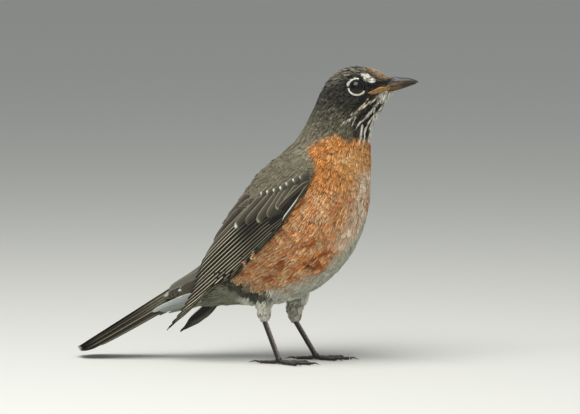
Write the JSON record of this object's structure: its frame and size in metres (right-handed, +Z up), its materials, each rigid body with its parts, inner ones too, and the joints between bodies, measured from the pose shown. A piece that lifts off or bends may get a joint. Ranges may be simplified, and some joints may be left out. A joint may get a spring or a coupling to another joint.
{
  "type": "american robin",
  "caption": "Life-size songbird model standing upright on both feet, with folded wings, a long tail, an orange breast and a slender bill.",
  "frame": {"origin": "on the ground, under the middle of the bird's box", "axes": "+X the way the bird faces, +Y its left side, +Z up"},
  "size_m": [0.2022, 0.0664, 0.1728],
  "materials": {
    "eye": "wet gloss, dark brown iris round a black pupil",
    "bill": "satin horn, slate above and yellow-brown below",
    "claw": "satin dark horn",
    "foot_scale": "dark brown overlapping scutes",
    "flight_feather": "blackish-brown vanes with thin pale edges",
    "pale_down": "whitish-grey short feathers",
    "breast_feather": "rufous-orange soft feathers with pale fringes",
    "crown_feather": "sooty short feathers with white marks round the eye",
    "grey_feather": "grey-brown soft feathers"
  },
  "bodies": {
    "root": {"bill_lower": "bill", "bill_upper": "bill", "eye_left": "eye", "eye_right": "eye", "hallux_claw_left": "claw", "hallux_claw_right": "claw", "hallux_left": "foot_scale", "hallux_right": "foot_scale", "head": "crown_feather", "inner_toe_claw_left": "claw", "inner_toe_claw_right": "claw", "inner_toe_left": "foot_scale", "inner_toe_right": "foot_scale", "middle_toe_claw_left": "claw", "middle_toe_claw_right": "claw", "middle_toe_left": "foot_scale", "middle_toe_right": "foot_scale", "neck": "grey_feather", "outer_toe_claw_left": "claw", "outer_toe_claw_right": "claw", "outer_toe_left": "foot_scale", "outer_toe_right": "foot_scale", "primaries_left": "flight_feather", "primaries_right": "flight_feather", "rump": "grey_feather", "shank_left": "foot_scale", "shank_right": "foot_scale", "tail": "flight_feather", "thigh_left": "pale_down", "thigh_right": "pale_down", "trunk": "breast_feather", "wing_left": "grey_feather", "wing_right": "grey_feather"}
  },
  "joints": []
}
